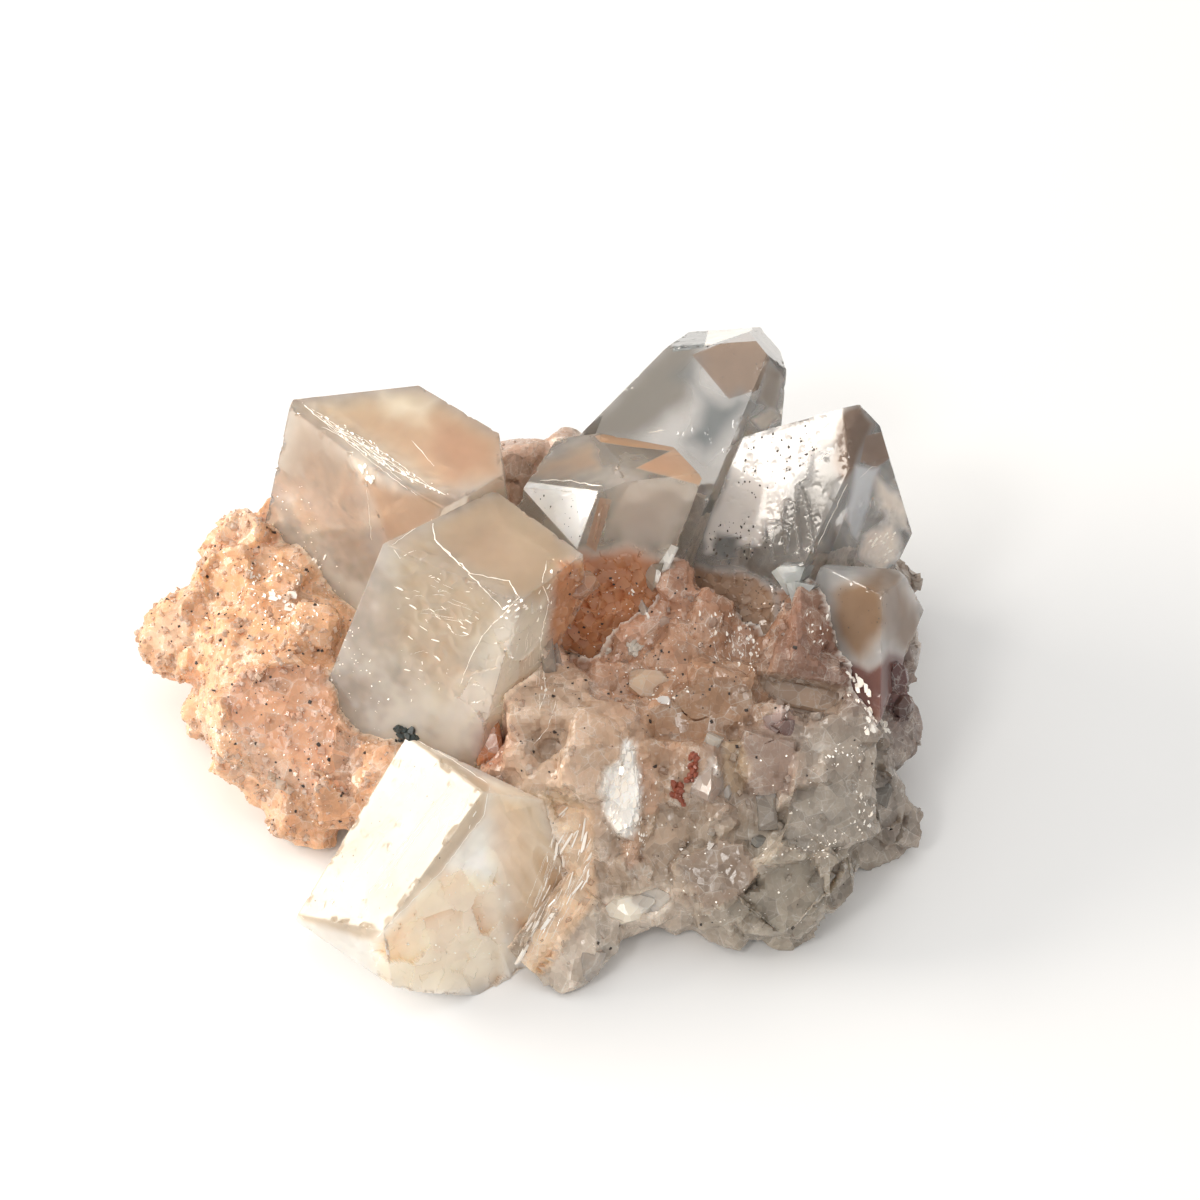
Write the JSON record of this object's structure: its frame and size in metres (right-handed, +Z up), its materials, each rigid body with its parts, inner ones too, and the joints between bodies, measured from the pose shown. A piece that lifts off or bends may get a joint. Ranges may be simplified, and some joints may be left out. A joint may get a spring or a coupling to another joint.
{
  "type": "zeolite cluster",
  "caption": "Cluster of clear, blocky pointed zeolite crystals standing in a mass of peach and grey-brown druse, cut flat underneath.",
  "frame": {"origin": "centre of the bounding box in plan, on the flat cut underneath", "axes": "+Z up from the flat cut, +X to the right along the long side as pictured, -Y towards the viewer and the milky front block"},
  "size_m": [0.0934, 0.079, 0.0405],
  "materials": {
    "matrix": "sugary druse, peach to grey-brown",
    "smoky_crystal": "clear grey crystal, glossy faces",
    "clear_crystal": "clear crystal with veils, glossy faces",
    "cream_crystal": "milky crystal, satin faces",
    "peach_crystal": "milky crystal, satin faces"
  },
  "bodies": {
    "root": {"matrix": "matrix", "rear_point": "smoky_crystal", "right_block": "smoky_crystal", "middle_crystal": "clear_crystal", "left_crystal": "clear_crystal", "centre_crystal": "clear_crystal", "front_block": "cream_crystal", "dome_crystal": "peach_crystal"}
  },
  "joints": []
}
